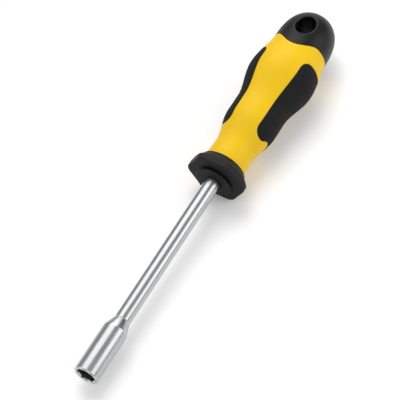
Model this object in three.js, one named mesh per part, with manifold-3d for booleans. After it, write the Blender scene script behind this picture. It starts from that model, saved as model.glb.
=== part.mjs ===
// A nut driver for 9 mm hexagon nuts, lying on a surface with its axis along X.
// +X runs from the mouth of the socket to the butt, +Z is up through the hang hole, sizes in millimetres.
// Inside the tool group, x is measured from the front face of the collar: the blade lies at negative x and
// the handle at positive x.

import * as THREE from "three";
import { mergeVertices } from "three/addons/utils/BufferGeometryUtils.js";
import Module from "manifold-3d";

const wasm = await Module();
wasm.setup();

// Clearances: turned steel in turned steel, and one moulding against the next
const fitGap = 0.1;
const mouldGap = 0.3;

// Blade: the socket head and the shank
const bladeLength = 125;
const nutAcrossFlats = 9;
const nutClearance = 0.1;
const hexDepth = 20;
const leadIn = 0.9;
const headDiameter = 13;
const headLength = 28;
const headEdge = 0.6;
const coneLength = 6.3;
const shankDiameter = 8.4;
const stubDiameter = 6;
const tangLength = 70;
const tangChamfer = 1;
const wingX = 44;
const wingLength = 16;
const wingSpan = 12.4;
const wingThickness = 3;
const wingSlope = 3;

// Collar
const collarLength = 10.4;
const bossDiameter = 19.6;
const bossHeight = 2;
const bossEdge = 0.5;
const collarAcrossFlats = 29.6;
const collarCorner = 5;
const collarEdge = 0.5;
const flangeThickness = 3.3;
const ringDiameter = 24.8;
const ringWidth = 0.8;
const collarWeb = 4;
const recessDiameter = 9.8;
const recessDepth = 1;

// Handle: half widths at the stations along it, from the root behind the collar to the butt
const handleLength = 115;
const rootRadius = 11.2;
const neckX = 21.5;
const neckRadius = 10.85;
const foreX = 39.5;
const foreRadius = 14.3;
const waistX = 50;
const waistRadius = 14.25;
const palmX = 71.5;
const palmRadius = 18.4;
const tailRadius = 15.45;
const domeLength = 21;
const domeFullness = 2.3;
const flatness = 0.94;
const flatnessX = 35;

// Layers of the handle: the skin over the core, the nose of the core and the wall of the cap at the butt
const skin = 3;
const noseDiameter = 14.4;
const capWall = 3;

// Butt cap and hang hole, measured from the butt
const capLength = 23.9;
const capTongue = 5.5;
const capTongueAngle = 52;
const hangSetback = 14.8;
const hangLength = 12.4;
const hangWidth = 10;
const linerWall = 1.6;

// Side windows for the grip pads: x positions, and arcs over the side measured at gripArcRadius
const gripArcRadius = 14.5;
const gripHalfArc = 14.1;
const gripTaper = 0.5;
const gripLobeX = 30.3;
const gripLobeArc = 7.6;
const gripNotch = 2.9;
const gripFrontCorner = 5.7;
const gripRearCorner = 6.2;
const gripRearArc = 8.5;
const gripRearDip = 0.4;
const bandWidth = 10.9;
const keyFrontX = 44;
const keyRearX = 66;
const keyDiameter = 5;
const keyDepth = 3;

// Facets
const handleSegments = 40;
const handleStep = 4.5;
const coreSegments = 24;
const coreStep = 7.5;
const roundSegments = 32;

// Places that follow from the sizes
const mouthX = -bladeLength;
const headBackX = mouthX + headLength + coneLength;
const headRadius = headDiameter / 2;
const shankRadius = shankDiameter / 2;
const stubRadius = stubDiameter / 2;
const noseRadius = noseDiameter / 2;
const hexFlats = nutAcrossFlats + nutClearance;
const bodyFrontX = collarLength + mouldGap;
const tailX = handleLength - domeLength;
const capSeamX = handleLength - capLength;
const hangX = handleLength - hangSetback;
const gripRearX = capSeamX - bandWidth;

const headSteel = new THREE.MeshStandardMaterial({ color: 0xd0d2d4, roughness: 0.2, metalness: 1 });
const shankSteel = new THREE.MeshStandardMaterial({ color: 0xd4d6d8, roughness: 0.22, metalness: 1 });
const corePlastic = new THREE.MeshStandardMaterial({ color: 0x202020, roughness: 0.6, metalness: 0 });
const bodyPlastic = new THREE.MeshStandardMaterial({ color: 0xf5c816, roughness: 0.38, metalness: 0 });
const collarPlastic = new THREE.MeshStandardMaterial({ color: 0x262626, roughness: 0.52, metalness: 0 });
const capPlastic = new THREE.MeshStandardMaterial({ color: 0x242424, roughness: 0.5, metalness: 0 });
const gripRubber = new THREE.MeshStandardMaterial({ color: 0x262626, roughness: 0.72, metalness: 0 });

// A closed three.js geometry as a solid that can be joined and cut
function solid(geometry) {
  const bare = geometry.clone();
  bare.deleteAttribute("normal");
  bare.deleteAttribute("uv");
  const merged = mergeVertices(bare, 1e-4);
  const index = merged.index.array;
  const corners = [];
  for (let i = 0; i < index.length; i += 3) {
    const [a, b, c] = index.slice(i, i + 3);
    if (a !== b && b !== c && c !== a) {
      corners.push(a, b, c);
    }
  }
  const mesh = new wasm.Mesh({
    numProp: 3,
    vertProperties: Float32Array.from(merged.attributes.position.array),
    triVerts: Uint32Array.from(corners),
  });
  return new wasm.Manifold(mesh);
}

// A solid back as a three.js geometry with flat facets
function geometryOf(body) {
  const mesh = body.getMesh();
  const geometry = new THREE.BufferGeometry();
  geometry.setAttribute("position", new THREE.BufferAttribute(Float32Array.from(mesh.vertProperties), 3));
  geometry.setIndex(Array.from(mesh.triVerts));
  const facets = geometry.toNonIndexed();
  facets.computeVertexNormals();
  return facets;
}

// The same solid turned half round the tool axis, from the right side to the left
function otherSide(body) {
  return solid(geometryOf(body).rotateX(Math.PI));
}

// Turned shape about the tool axis, from [x, radius] points that start and end on the axis
function turned(points, segments) {
  const profile = points.map(([x, radius]) => new THREE.Vector2(radius, x));
  return new THREE.LatheGeometry(profile, segments).rotateZ(-Math.PI / 2);
}

function rod(x0, x1, radius) {
  const points = [
    [x0, 0],
    [x0, radius],
    [x1, radius],
    [x1, 0],
  ];
  return turned(points, roundSegments);
}

// Profile points of a rounded front edge: radius of the face rim growing to the full radius
function roundedEdge(x, radius, edge) {
  const steps = 4;
  const points = [];
  for (let i = 0; i <= steps; i++) {
    const angle = (i / steps) * (Math.PI / 2);
    points.push([x + edge * (1 - Math.cos(angle)), radius - edge * (1 - Math.sin(angle))]);
  }
  return points;
}

// Hexagonal bar along the tool axis with flats on top and bottom, rounded corners and chamfered ends
function hexBar(x0, x1, acrossFlats, corner, edge) {
  const reach = (acrossFlats / 2 - corner) / Math.cos(Math.PI / 6);
  const shape = new THREE.Shape();
  for (let i = 0; i < 6; i++) {
    const angle = (i * Math.PI) / 3;
    const x = reach * Math.cos(angle);
    const y = reach * Math.sin(angle);
    if (corner > 0) {
      shape.absarc(x, y, corner, angle - Math.PI / 6, angle + Math.PI / 6, false);
    } else if (i === 0) {
      shape.moveTo(x, y);
    } else {
      shape.lineTo(x, y);
    }
  }
  shape.closePath();
  const bar = new THREE.ExtrudeGeometry(shape, {
    depth: x1 - x0 - 2 * edge,
    bevelEnabled: edge > 0,
    bevelThickness: edge,
    bevelSize: edge,
    bevelOffset: -edge,
    bevelSegments: 1,
    curveSegments: 5,
  });
  return bar.rotateX(Math.PI / 2).rotateZ(Math.PI / 2).translate(x0 + edge, 0, 0);
}

// Half width of the handle at x, easing from one station to the next
const stations = [
  [collarLength, rootRadius],
  [neckX, neckRadius],
  [foreX, foreRadius],
  [waistX, waistRadius],
  [palmX, palmRadius],
  [tailX, tailRadius],
];

function halfWidth(x) {
  for (let i = 1; i < stations.length; i++) {
    const [x0, r0] = stations[i - 1];
    const [x1, r1] = stations[i];
    if (x <= x1) {
      return THREE.MathUtils.lerp(r0, r1, THREE.MathUtils.smoothstep(x, x0, x1));
    }
  }
  return tailRadius;
}

// Outline of the handle from x0 to the butt, moved in by inset at the sides and by endInset at the butt.
// Each stretch between two stations, and the dome, is cut into equal steps of about the given length.
function handleOutline(x0, inset, endInset, step) {
  const points = [[x0, 0]];
  for (let i = 1; i < stations.length; i++) {
    const from = Math.max(x0, stations[i - 1][0]);
    const to = stations[i][0];
    const steps = Math.ceil((to - from) / step);
    for (let k = 0; k < steps; k++) {
      const x = THREE.MathUtils.lerp(from, to, k / steps);
      points.push([x, halfWidth(x) - inset]);
    }
  }
  const reach = domeLength - endInset;
  const domeSteps = Math.ceil((1.6 * reach) / step);
  for (let i = 0; i < domeSteps; i++) {
    const along = Math.sin((i / domeSteps) * (Math.PI / 2));
    const height = (1 - along ** domeFullness) ** (1 / domeFullness);
    points.push([tailX + reach * along, (tailRadius - inset) * height]);
  }
  points.push([tailX + reach, 0]);
  return points;
}

// The handle is round at the collar and a little flatter than wide behind it
function flatten(geometry) {
  const position = geometry.attributes.position;
  for (let i = 0; i < position.count; i++) {
    const amount = THREE.MathUtils.smoothstep(position.getX(i), collarLength, flatnessX);
    position.setZ(i, position.getZ(i) * THREE.MathUtils.lerp(1, flatness, amount));
  }
  return geometry;
}

// Smooth bend of a path that heads for a corner point and leaves it for an end point
function bend(path, cornerX, cornerY, endX, endY) {
  const pull = 0.6;
  const { x, y } = path.currentPoint;
  path.bezierCurveTo(
    THREE.MathUtils.lerp(x, cornerX, pull),
    THREE.MathUtils.lerp(y, cornerY, pull),
    THREE.MathUtils.lerp(endX, cornerX, pull),
    THREE.MathUtils.lerp(endY, cornerY, pull),
    endX,
    endY,
  );
}

// Outline of a side window, laid flat: x along the handle and y the arc from the middle of the side.
// Two lobes face the collar with a notch between them, and the rear end is nearly straight.
function gripOutline(inset) {
  const half = gripHalfArc - inset;
  const rearHalf = half - gripTaper;
  const front = gripLobeX + inset;
  const rear = gripRearX - inset;
  const edge = new THREE.Path();
  edge.moveTo(front + gripNotch, 0);
  edge.bezierCurveTo(front + gripNotch, gripLobeArc / 2, front, gripLobeArc / 2, front, gripLobeArc);
  bend(edge, front, half, front + gripFrontCorner, half);
  edge.lineTo(rear - gripRearCorner, rearHalf);
  bend(edge, rear, rearHalf, rear, gripRearArc);
  edge.bezierCurveTo(rear, gripRearArc / 2, rear - gripRearDip, gripRearArc / 2, rear - gripRearDip, 0);
  const upper = edge.getPoints(6);
  const lower = upper.slice(1, -1).reverse();
  return new THREE.Shape(upper.concat(lower.map((point) => new THREE.Vector2(point.x, -point.y))));
}

// Wedge through the right side of the handle with that outline, its walls pointing at the tool axis
function gripWedge(inset) {
  const inner = shankRadius / 2;
  const outer = 2.5 * palmRadius;
  const wedge = new THREE.ExtrudeGeometry(gripOutline(inset), { depth: outer - inner, bevelEnabled: false });
  const position = wedge.attributes.position;
  for (let i = 0; i < position.count; i++) {
    const angle = position.getY(i) / gripArcRadius;
    const radius = inner + position.getZ(i);
    position.setY(i, -radius * Math.cos(angle));
    position.setZ(i, radius * Math.sin(angle));
  }
  return flatten(wedge);
}

// Everything behind the wavy seam between the sleeve and the butt cap, with a tongue on top and below
function capSide(offset) {
  const inner = shankRadius;
  const outer = 2 * palmRadius;
  const points = [
    [0, 0],
    [0, inner],
    [0, outer],
    [handleLength, outer],
    [handleLength, 0],
  ];
  const behind = turned(points, 2 * roundSegments);
  const position = behind.attributes.position;
  for (let i = 0; i < position.count; i++) {
    const y = Math.abs(position.getY(i));
    const z = Math.abs(position.getZ(i));
    const fromTop = THREE.MathUtils.radToDeg(Math.atan2(y, z));
    const wave = Math.min(fromTop / capTongueAngle, 1) * Math.PI;
    const onAxis = Math.hypot(y, z) < inner / 2;
    const tongue = onAxis ? 0 : (capTongue * (1 + Math.cos(wave))) / 2;
    position.setX(i, position.getX(i) + capSeamX + offset - tongue);
  }
  return behind;
}

// Oval bar up through the hang hole
function hangBar(grow) {
  const oval = new THREE.Shape();
  oval.absellipse(hangX, 0, hangLength / 2 + grow, hangWidth / 2 + grow, 0, 2 * Math.PI, false, 0);
  const depth = 4 * palmRadius;
  return new THREE.ExtrudeGeometry(oval, { depth, bevelEnabled: false }).translate(0, 0, -depth / 2);
}

// Peg on the back of the right grip pad, which keys it to the core
function padKey(x, grow) {
  const radius = keyDiameter / 2 + grow;
  const length = keyDepth + skin / 2 + grow;
  const root = halfWidth(x) - skin / 2;
  return new THREE.CylinderGeometry(radius, radius, length, 16).translate(x, length / 2 - root, 0);
}

// Flat wings pressed out of the tang
function wings(grow) {
  const half = wingSpan / 2 + grow;
  const x0 = wingX - grow;
  const x1 = wingX + wingLength + grow;
  const plate = new THREE.Shape();
  plate.moveTo(x0, 0);
  plate.lineTo(x0 + wingSlope, -half);
  plate.lineTo(x1 - wingSlope, -half);
  plate.lineTo(x1, 0);
  plate.lineTo(x1 - wingSlope, half);
  plate.lineTo(x0 + wingSlope, half);
  plate.closePath();
  const depth = wingThickness + 2 * grow;
  const blade = new THREE.ExtrudeGeometry(plate, { depth, bevelEnabled: false });
  return blade.translate(0, 0, -depth / 2).rotateX(Math.PI / 2);
}

// Socket head: turned outside, hexagon broached from the mouth, bored for the stub from behind
const headProfile = [
  [mouthX, 0],
  ...roundedEdge(mouthX, headRadius, headEdge),
  [mouthX + headLength, headRadius],
  [headBackX, shankRadius],
  [headBackX, 0],
];
const leadInRadius = hexFlats / 2 + leadIn;
const leadInCone = [
  [mouthX - leadIn, 0],
  [mouthX - leadIn, leadInRadius + leadIn],
  [mouthX + leadInRadius, 0],
];
const socketHead = solid(turned(headProfile, roundSegments))
  .subtract(solid(hexBar(mouthX - leadIn, mouthX + hexDepth, hexFlats, 0, 0)))
  .subtract(solid(turned(leadInCone, roundSegments)))
  .subtract(solid(rod(mouthX + leadIn, headBackX + leadIn, stubRadius + fitGap)));

// Shank: the stub fills the head behind the hexagon, and the winged tang sits in the core
const shankProfile = [
  [mouthX + hexDepth, 0],
  [mouthX + hexDepth, stubRadius],
  [headBackX + fitGap, stubRadius],
  [headBackX + fitGap, shankRadius],
  [tangLength - tangChamfer, shankRadius],
  [tangLength, shankRadius - tangChamfer],
  [tangLength, 0],
];
const shank = solid(turned(shankProfile, roundSegments)).add(solid(wings(0)));

// Collar: a round boss in front, a hexagonal flange with a conical back, and a seat for the nose of the core
const flangeBackX = bossHeight + flangeThickness;
const ringRadius = ringDiameter / 2;
const collarReach = collarAcrossFlats / Math.sqrt(3) - (2 / Math.sqrt(3) - 1) * collarCorner;
const boss = [
  [0, 0],
  ...roundedEdge(0, bossDiameter / 2, bossEdge),
  [flangeBackX, bossDiameter / 2],
  [flangeBackX, 0],
];
const collarBack = [
  [0, 0],
  [0, collarReach],
  [flangeBackX, collarReach],
  [collarLength - ringWidth, ringRadius],
  [collarLength, ringRadius],
  [collarLength, 0],
];
const flange = hexBar(bossHeight, collarLength + bossHeight, collarAcrossFlats, collarCorner, collarEdge);
const hexCollar = solid(flange)
  .intersect(solid(turned(collarBack, 2 * roundSegments)))
  .add(solid(turned(boss, roundSegments)))
  .subtract(solid(rod(-bossHeight, collarLength + bossHeight, shankRadius + mouldGap)))
  .subtract(solid(rod(-bossHeight, recessDepth, recessDiameter / 2)))
  .subtract(solid(rod(collarWeb, collarLength + bossHeight, noseRadius + mouldGap)));

// Core: moulded round the tang, with a nose in the collar and a cross hole for the lining of the hang hole
const coreOutline = handleOutline(bodyFrontX, skin, capWall, coreStep);
const nose = rod(collarWeb + mouldGap, bodyFrontX + skin, noseRadius);
let handleCore = solid(flatten(turned(coreOutline, coreSegments)))
  .add(solid(nose))
  .subtract(solid(rod(0, tangLength + mouldGap, shankRadius + mouldGap)))
  .subtract(solid(wings(mouldGap)))
  .subtract(solid(hangBar(linerWall + mouldGap)));
for (const x of [keyFrontX, keyRearX]) {
  const room = solid(padKey(x, mouldGap));
  handleCore = handleCore.subtract(room).subtract(otherSide(room));
}

// Layer over the core that the sleeve, the grip pads and the cap share
const handleShape = solid(flatten(turned(handleOutline(bodyFrontX, 0, 0, handleStep), handleSegments)));
const roomOutline = handleOutline(collarLength, skin - mouldGap, capWall - mouldGap, coreStep);
const layer = handleShape.subtract(solid(flatten(turned(roomOutline, coreSegments))));

const sideWindow = solid(gripWedge(-mouldGap / 2));
const handleBody = layer
  .subtract(solid(capSide(-mouldGap / 2)))
  .subtract(sideWindow)
  .subtract(otherSide(sideWindow));

const gripPad = layer
  .intersect(solid(gripWedge(mouldGap / 2)))
  .add(solid(padKey(keyFrontX, 0)))
  .add(solid(padKey(keyRearX, 0)));

const lining = handleShape.intersect(solid(hangBar(linerWall)));
const buttCap = layer
  .intersect(solid(capSide(mouldGap / 2)))
  .add(lining)
  .subtract(solid(hangBar(0)));

// Scene graph: the underside of the palm swell is at z = 0 and the length is centred on x = 0
const tool = new THREE.Group();
tool.name = "tool";
tool.position.set((bladeLength - handleLength) / 2, 0, palmRadius * flatness);

function addPart(name, body, material) {
  const mesh = new THREE.Mesh(geometryOf(body), material);
  mesh.name = name;
  tool.add(mesh);
  return mesh;
}

addPart("socket_head", socketHead, headSteel);
addPart("shank", shank, shankSteel);
addPart("handle_core", handleCore, corePlastic);
addPart("handle_body", handleBody, bodyPlastic);
addPart("hex_collar", hexCollar, collarPlastic);
addPart("grip_pad_right", gripPad, gripRubber);
addPart("grip_pad_left", gripPad, gripRubber).rotation.x = Math.PI;
addPart("butt_cap", buttCap, capPlastic);

const nutDriver = new THREE.Group();
nutDriver.name = "nut_driver";
nutDriver.add(tool);

export default nutDriver;
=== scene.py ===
# %% [markdown]
# # A nut driver on a pale table
# The tool is a steel socket on a round shank, pushed into a two-colour moulded handle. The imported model
# gives the place and the size of every piece. This lesson dresses each one: it makes a finer mesh for it,
# gives that mesh a finish, and lights the tool the way a shop photograph is lit.

# %% Load the frame
from math import cos, pi, radians, sin

import bmesh
import bpy
import numpy as np
from mathutils import Matrix, Vector


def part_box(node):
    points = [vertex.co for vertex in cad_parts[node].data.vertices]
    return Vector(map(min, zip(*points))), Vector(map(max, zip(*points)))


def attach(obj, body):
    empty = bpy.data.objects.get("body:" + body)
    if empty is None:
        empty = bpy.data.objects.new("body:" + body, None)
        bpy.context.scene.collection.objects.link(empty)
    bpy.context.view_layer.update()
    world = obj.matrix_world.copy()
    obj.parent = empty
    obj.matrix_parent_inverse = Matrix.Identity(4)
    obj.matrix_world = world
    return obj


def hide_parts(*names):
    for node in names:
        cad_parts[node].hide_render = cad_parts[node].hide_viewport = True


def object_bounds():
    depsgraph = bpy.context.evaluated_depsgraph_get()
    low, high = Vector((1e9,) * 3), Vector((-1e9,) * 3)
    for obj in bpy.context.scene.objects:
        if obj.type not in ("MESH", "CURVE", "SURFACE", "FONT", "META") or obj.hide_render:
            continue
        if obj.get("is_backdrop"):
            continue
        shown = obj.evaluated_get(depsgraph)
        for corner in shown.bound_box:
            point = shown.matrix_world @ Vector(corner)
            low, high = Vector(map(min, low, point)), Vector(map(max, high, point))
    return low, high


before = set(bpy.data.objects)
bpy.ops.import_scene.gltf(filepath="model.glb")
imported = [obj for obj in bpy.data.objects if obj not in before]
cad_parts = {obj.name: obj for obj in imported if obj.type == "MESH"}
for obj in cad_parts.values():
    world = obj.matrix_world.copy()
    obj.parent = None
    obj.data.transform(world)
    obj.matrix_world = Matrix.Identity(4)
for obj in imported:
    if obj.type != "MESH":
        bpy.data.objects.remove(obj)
cad_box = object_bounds()
scene = bpy.context.scene
scene.view_settings.view_transform = "Standard"
print("nodes:", ", ".join(sorted(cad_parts)))

# %% [markdown]
# Every place on the tool is easiest to give from one spot, so the front face of the collar and the middle
# of the shank are read from the frame first. From there on, x runs back along the handle and is negative
# along the blade.

# %% Where the tool is
MM = 0.001
collar_low, collar_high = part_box("hex_collar")
head_low, head_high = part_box("socket_head")
shank_low, shank_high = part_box("shank")
cap_low, cap_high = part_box("butt_cap")
face_x = collar_low.x
axis_z = (collar_low.z + collar_high.z) / 2
mouth_x = head_low.x - face_x
head_back_x = head_high.x - face_x
butt_x = cap_high.x - face_x
tool_place = Vector((face_x, 0, axis_z))
print(f"blade {-mouth_x / MM:.1f} mm, handle {butt_x / MM:.1f} mm, axis {axis_z / MM:.2f} mm up")

# %% [markdown]
# Node trees get long when every sum needs its own lines. A small class stands for a socket's value, and
# Python's operators on it add the Math nodes. All other nodes come from one method, which sets a node's
# own settings first and then fills its sockets with numbers or links. The same two classes serve
# materials and geometry trees.


# %% Sums written as Python
class Flow:
    """The value that comes out of a socket."""

    def __init__(self, sheet, socket):
        self.sheet = sheet
        self.socket = socket

    def __getitem__(self, output):
        return Flow(self.sheet, self.socket.node.outputs[output])

    def __add__(self, other):
        return self.sheet.math("ADD", self, other)

    def __sub__(self, other):
        return self.sheet.math("SUBTRACT", self, other)

    def __rsub__(self, other):
        return self.sheet.math("SUBTRACT", other, self)

    def __mul__(self, other):
        return self.sheet.math("MULTIPLY", self, other)

    def __truediv__(self, other):
        return self.sheet.math("DIVIDE", self, other)

    def __rtruediv__(self, other):
        return self.sheet.math("DIVIDE", other, self)

    def __pow__(self, other):
        return self.sheet.math("POWER", self, other)

    __radd__ = __add__
    __rmul__ = __mul__


class NodeSheet:
    """A node tree that is filled from top to bottom."""

    def __init__(self, tree):
        self.tree = tree
        self.tree.nodes.clear()

    def node(self, kind, settings=None, inputs=None, output=0):
        made = self.tree.nodes.new(kind)
        for name, value in (settings or {}).items():
            setattr(made, name, value)
        for name, value in (inputs or {}).items():
            if isinstance(value, Flow):
                self.tree.links.new(value.socket, made.inputs[name])
            else:
                made.inputs[name].default_value = value
        return Flow(self, made.outputs[output]) if len(made.outputs) else None

    def math(self, operation, *values):
        return self.node("ShaderNodeMath", {"operation": operation}, dict(enumerate(values)))

    def mix_color(self, factor, first, second):
        inputs = {0: factor, 6: first, 7: second}
        return self.node("ShaderNodeMix", {"data_type": "RGBA"}, inputs, 2)


print("node helpers ready")

# %% [markdown]
# ## Camera
# The photograph looks down on the tool with a long lens. The tool's axis leans 26 degrees towards the
# lens at the socket, the handle is rolled by 21.5 degrees, and the whole tool runs up the picture at 56.6
# degrees. Building the camera's axes from those three angles is surer than turning it by eye.

# %% Camera at the photograph's angle
PICTURE_SIDE = 400
FOCAL_PIXELS = 2250
CAMERA_DISTANCE = 1133.2 * MM
AIM_X = -12.5 * MM
AIM_BELOW = 0.30 * MM
HALF_PIXEL = 0.25 * MM
axis_lean = radians(26)
handle_roll = radians(21.5)
picture_turn = radians(56.6)

along = Vector((1, 0, 0))
towards = Vector((0, -sin(handle_roll), cos(handle_roll)))
across = Vector((0, -cos(handle_roll), -sin(handle_roll)))
picture_along = cos(axis_lean) * along + sin(axis_lean) * towards
to_camera = cos(axis_lean) * towards - sin(axis_lean) * along
picture_right = cos(picture_turn) * picture_along + sin(picture_turn) * across
picture_up = sin(picture_turn) * picture_along - cos(picture_turn) * across

camera_data = bpy.data.cameras.new("camera")
camera_data.sensor_width = 36
camera_data.lens = FOCAL_PIXELS * camera_data.sensor_width / PICTURE_SIDE
camera_data.clip_end = 20
camera = bpy.data.objects.new("camera", camera_data)
scene.collection.objects.link(camera)
aim = tool_place + AIM_X * along - AIM_BELOW * across + HALF_PIXEL * (picture_up - picture_right)
view = Matrix((picture_right, picture_up, to_camera)).transposed().to_4x4()
camera.matrix_world = Matrix.Translation(aim + CAMERA_DISTANCE * to_camera) @ view
scene.camera = camera
print("camera at", [round(c, 3) for c in camera.matrix_world.translation])

# %% [markdown]
# ## Finishes
# Each finish starts from the piece's own Object coordinates, in metres, so a grain of 2000 is half a
# millimetre wide. The meshes also carry an attribute called rim, which is 1 along rounded edges: those are
# made glossier, and painted lighter as a painted highlight, which on plastic also stands for wear. The cap
# carries one more, called hole_shade, which is 1 deep in its hole, where the colour is painted black as
# painted shade.


# %% A blank finish and its parts
def new_finish(name):
    material = bpy.data.materials.new(name)
    material.use_nodes = True
    return material, NodeSheet(material.node_tree)


def noise(sheet, place, scale, detail=3.0, roughness=0.5):
    inputs = {"Vector": place, "Scale": scale, "Detail": detail, "Roughness": roughness}
    return sheet.node("ShaderNodeTexNoise", {}, inputs)


def stretched(sheet, place, scale):
    return sheet.node("ShaderNodeMapping", {}, {"Vector": place, "Scale": scale})


def span(sheet, value, low, high, to_low=0.0, to_high=1.0):
    inputs = {0: value, 1: low, 2: high, 3: to_low, 4: to_high}
    return sheet.node("ShaderNodeMapRange", {"clamp": True}, inputs)


def rim_of(sheet):
    return sheet.node("ShaderNodeAttribute", {"attribute_name": "rim"}, output="Fac")


def bump(sheet, height, strength, distance):
    inputs = {"Height": height, "Strength": strength, "Distance": distance}
    return sheet.node("ShaderNodeBump", {}, inputs)


def shade(color, factor=1.0, lift=0.0):
    """A colour made lighter or darker, with the fourth value that a socket wants."""
    return [min(1.0, factor * c + lift) for c in color] + [1]


def finish_with(sheet, **sockets):
    inputs = {name.replace("_", " "): value for name, value in sockets.items()}
    surface = sheet.node("ShaderNodeBsdfPrincipled", {}, inputs)
    sheet.node("ShaderNodeOutputMaterial", {}, {"Surface": surface})


print("finish helpers ready")

# %% [markdown]
# ### Satin chrome
# The blade is turned steel with a thin satin chrome plate. A mirror would be too clean: plating follows
# the tool marks below it. Noise that is stretched along the bar gives drawn lines, noise that only
# changes along x gives the rings of the lathe, and slow noise makes the satin a little uneven where hands
# have been. Edges are made a little glossier and painted lighter: a painted highlight.


# %% Steel of the shank and of the head
SCRATCHED_STEEL = (0.5, 0.5, 0.52)
HIGHLIGHT_STEEL = (0.75, 0.75, 0.76)


def satin_chrome(name, grain_scale, base, rough):
    material, sheet = new_finish(name)
    place = sheet.node("ShaderNodeTexCoord", output="Object")
    grain = noise(sheet, stretched(sheet, place, grain_scale), 1.0, 2.0)
    smudge = noise(sheet, place, 90.0, 3.0)
    scratch = noise(sheet, stretched(sheet, place, (60, 900, 900)), 1.0, 4.0, 0.7)
    line = span(sheet, scratch, 0.66, 0.72)
    rim = rim_of(sheet)
    color = sheet.mix_color(span(sheet, grain, 0.3, 0.7), shade(base, 0.98), shade(base))
    color = sheet.mix_color(line * 0.15, color, shade(SCRATCHED_STEEL))
    # Painted highlight: the rim mask turns the colour towards a light steel along rounded edges.
    color = sheet.mix_color(rim * 0.8, color, shade(HIGHLIGHT_STEEL))
    rough_here = rough + 0.02 * (grain - 0.5) + 0.06 * (smudge - 0.5) + 0.04 * line - 0.05 * rim
    normal = bump(sheet, grain + 0.4 * line, 0.02, 0.01 * MM)
    finish_with(sheet, Base_Color=color, Metallic=1.0, Roughness=rough_here, Normal=normal)
    return material


shank_steel = satin_chrome("shank_chrome", (30, 5000, 5000), (0.47, 0.475, 0.48), 0.24)
head_steel = satin_chrome("head_chrome", (5200, 60, 60), (0.46, 0.465, 0.47), 0.27)
print("steel:", shank_steel.name, head_steel.name)

# %% [markdown]
# ### Moulded plastics and soft grip
# All the handle's materials come out of a mould, so they share one recipe: the mould's fine spark-eroded
# skin as bump, a slow drift in colour and gloss, and edges that are rubbed a little smoother. Those edges
# are also painted lighter in specks, partly as wear and partly as a painted highlight. The yellow
# shell is the glossiest, the collar and the cap are satin, and the rubber is nearly matt.


# %% One recipe for what comes out of a mould
HOLE_SHADE_BLACK = (0.0005, 0.0005, 0.0005)


def moulded(name, base, drift, rough, grain, grain_depth, specular, rim_gloss):
    material, sheet = new_finish(name)
    place = sheet.node("ShaderNodeTexCoord", output="Object")
    slow = noise(sheet, place, 70.0, 3.0)
    fine = noise(sheet, place, grain, 4.0, 0.6)
    speck = noise(sheet, place, 900.0, 2.0)
    rim = rim_of(sheet)
    color = sheet.mix_color(span(sheet, slow, 0.3, 0.7), shade(base, 1 - drift), shade(base, 1 + drift))
    # Edges are painted lighter in specks: partly wear, partly a painted highlight.
    wear_and_highlight = shade(base, 1.25, 0.006)
    color = sheet.mix_color(rim * span(sheet, speck, 0.42, 0.6) * 0.5, color, wear_and_highlight)
    # Painted shade: deep in the cap's hole the colour is turned black.
    hole_shade = sheet.node("ShaderNodeAttribute", {"attribute_name": "hole_shade"}, output="Fac")
    color = sheet.mix_color(span(sheet, hole_shade, 0.0, 0.3), color, shade(HOLE_SHADE_BLACK))
    rough_here = rough + 0.10 * (slow - 0.5) + 0.12 * (speck - 0.5) - rim_gloss * rim
    normal = bump(sheet, fine, 0.5, grain_depth)
    settings = {"Specular_IOR_Level": specular}
    finish_with(sheet, Base_Color=color, Roughness=rough_here, Normal=normal, **settings)
    return material


yellow = moulded(
    "sleeve_yellow", (0.84, 0.53, 0.003), drift=0.02, rough=0.38,
    grain=2600, grain_depth=0.010 * MM, specular=0.18, rim_gloss=0.04,
)
collar_black = moulded(
    "collar_black", (0.011, 0.011, 0.0112), drift=0.18, rough=0.66,
    grain=1300, grain_depth=0.100 * MM, specular=0.20, rim_gloss=0.16,
)
cap_black = moulded(
    "cap_black", (0.006, 0.006, 0.0062), drift=0.12, rough=0.40,
    grain=2000, grain_depth=0.022 * MM, specular=0.25, rim_gloss=0.16,
)
rubber = moulded(
    "grip_black", (0.009, 0.009, 0.0092), drift=0.14, rough=0.82,
    grain=1600, grain_depth=0.070 * MM, specular=0.22, rim_gloss=0.05,
)
core_black = moulded(
    "core_black", (0.012, 0.012, 0.012), drift=0.15, rough=0.60,
    grain=2000, grain_depth=0.020 * MM, specular=0.40, rim_gloss=0.0,
)
print("moulded:", yellow.name, collar_black.name, cap_black.name, rubber.name, core_black.name)

# %% [markdown]
# ## Turned pieces
# The shank, the head and the collar come off a lathe or look as if they had, so one function makes all
# three. It takes a list of rings, each an x and a radius, and joins them round the axis. A radius may be
# a whole list of values, one for each angle, which is how a hexagon gets into a turned piece. A ring's
# third value is the softness of its edge, and a fourth, where it has one, says how much glossier and
# lighter the surface is beside it: partly wear, partly a painted highlight. Rounded edges are cut into
# the list of rings before it is turned, so light catches them as it does on metal and mouldings, and
# their rim value paints them lighter as a painted highlight.


# %% Rings round the axis
SIDES = 240
angles = np.arange(SIDES) * 2 * pi / SIDES
EDGE_STEPS = 4
EDGE_LIMIT = 0.48


def hexagon(across_flats, corner):
    """Radius of a hexagon with rounded corners, one of them pointing along Y, at every angle."""
    from_corner = np.abs((angles + pi / 6) % (pi / 3) - pi / 6)
    flat = across_flats / 2
    reach = (flat - corner) / cos(pi / 6)
    on_flat = flat / np.cos(pi / 6 - from_corner)
    sideways = np.minimum(reach * np.sin(from_corner), corner)
    on_corner = reach * np.cos(from_corner) + np.sqrt(corner**2 - sideways**2)
    turn = np.arctan2(corner / 2, reach + corner * cos(pi / 6))
    return np.where(from_corner < turn, on_corner, on_flat)


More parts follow.
